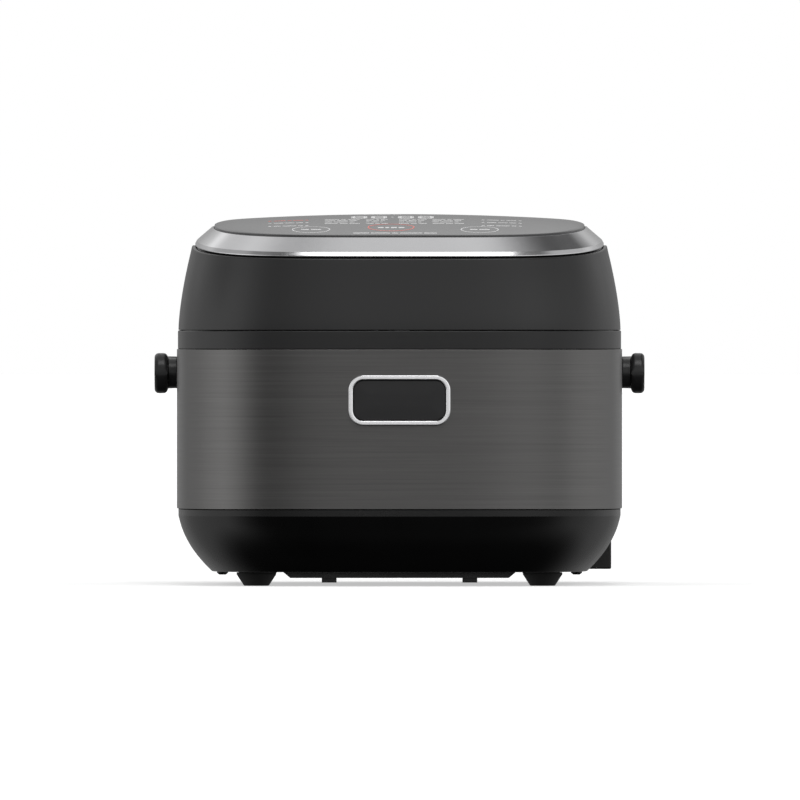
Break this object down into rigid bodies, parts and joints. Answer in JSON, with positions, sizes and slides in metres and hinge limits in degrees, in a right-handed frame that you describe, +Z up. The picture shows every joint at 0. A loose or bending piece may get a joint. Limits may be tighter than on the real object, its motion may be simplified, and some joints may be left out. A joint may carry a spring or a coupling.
{
  "type": "rice cooker",
  "caption": "Square-plan induction rice cooker: hinged lid with touch glass in a satin ring, brushed steel body, lid-release button, swing carry handle and lift-out pot.",
  "frame": {"origin": "on the counter, under the middle of the whole cooker with its handle folded back", "axes": "+Z up, front of the cooker towards -Y, +X to the right as seen from the front"},
  "size_m": [0.2976, 0.348, 0.2248],
  "materials": {
    "dark_plastic": "satin moulded",
    "black_plastic": "satin moulded",
    "inner_plastic": "fine texture",
    "wrap_steel": "dark horizontal brushing",
    "plain_steel": "zinc plated",
    "satin_chrome": "satin",
    "dark_glass": "polished, printed on its back",
    "button_plastic": "satin",
    "rubber": "matt",
    "silicone": "matt",
    "aluminium": "satin",
    "pot_coating": "non-stick coating",
    "copper": "enamelled wire",
    "ferrite": "sintered",
    "circuit_board": "solder mask",
    "brass": "plated"
  },
  "bodies": {
    "housing": {"base_housing": "black_plastic", "bottom_cover": "black_plastic", "intake_grille": "black_plastic", "front_left_foot": "rubber", "front_right_foot": "rubber", "rear_left_foot": "rubber", "rear_right_foot": "rubber", "base_screw_front_left": "plain_steel", "base_screw_front_right": "plain_steel", "base_screw_rear_left": "plain_steel", "base_screw_rear_right": "plain_steel", "steel_wrap": "wrap_steel", "top_frame": "dark_plastic", "inner_chamber": "aluminium", "inner_pot": "pot_coating", "coil_carrier": "black_plastic", "induction_coil": "copper", "ferrite_bar_1": "ferrite", "ferrite_bar_2": "ferrite", "ferrite_bar_3": "ferrite", "sensor_spring": "plain_steel", "fan_frame": "black_plastic", "power_board": "circuit_board", "heat_sink": "aluminium", "power_inlet": "dark_plastic", "inlet_pin_front": "brass", "inlet_pin_rear": "brass", "hinge_bracket": "dark_plastic", "hinge_cover": "dark_plastic", "hinge_pin": "plain_steel", "hinge_spring": "plain_steel", "latch_bracket": "plain_steel", "latch_pin": "plain_steel", "latch_spring": "plain_steel", "button_frame": "satin_chrome", "button_housing": "black_plastic", "button_spring": "plain_steel", "handle_pivot_left": "dark_plastic", "handle_pivot_right": "dark_plastic", "pivot_screw_left": "plain_steel", "pivot_screw_right": "plain_steel"},
    "lid": {"lid_shell": "dark_plastic", "chrome_ring": "satin_chrome", "touch_glass": "dark_glass", "control_board": "circuit_board", "display_module": "inner_plastic", "lid_lower_cover": "inner_plastic", "lid_heater": "aluminium", "inner_lid_plate": "aluminium", "pot_seal": "silicone", "steam_duct": "silicone", "lid_catch": "plain_steel", "hinge_arm_left": "inner_plastic", "hinge_arm_right": "inner_plastic"},
    "release_button": {"release_button": "button_plastic"},
    "latch": {"latch_lever": "plain_steel"},
    "carry_handle": {"carry_handle": "dark_plastic"},
    "sensor": {"sensor_plunger": "aluminium"},
    "fan": {"fan_rotor": "black_plastic"},
    "steam_cap": {"steam_cap": "dark_plastic"}
  },
  "joints": [
    {"name": "lid_hinge", "type": "hinge", "parent": "housing", "child": "lid", "pos_m": [0, 0.143, 0.165], "axis": [-1, 0, 0], "range_deg": [0, 85]},
    {"name": "button_press", "type": "slide", "parent": "housing", "child": "release_button", "axis": [0, 1, 0], "range_m": [0, 0.0035], "stiffness_N_per_m": 500, "springref_m": -0.004, "deforming": ["button_spring"]},
    {"name": "latch_pivot", "type": "hinge", "parent": "housing", "child": "latch", "pos_m": [0, -0.155, 0.128], "axis": [1, 0, 0], "range_deg": [0, 15]},
    {"name": "handle_swing", "type": "hinge", "parent": "housing", "child": "carry_handle", "pos_m": [0, -0.007, 0.1282], "axis": [1, 0, 0], "range_deg": [0, 90]},
    {"name": "sensor_travel", "type": "slide", "parent": "housing", "child": "sensor", "axis": [0, 0, -1], "range_m": [0, 0.003], "stiffness_N_per_m": 400, "springref_m": -0.003, "deforming": ["sensor_spring"]},
    {"name": "fan_spin", "type": "hinge", "parent": "housing", "child": "fan", "pos_m": [-0.05, 0.088, 0.018], "axis": [0, 0, 1], "continuous": true},
    {"name": "steam_cap_lift", "type": "slide", "parent": "lid", "child": "steam_cap", "axis": [0, 0, 1], "range_m": [0, 0.03]}
  ],
  "couplings": [
    {"joint": "latch_pivot", "follows": "button_press", "rad_per_m": 72}
  ]
}
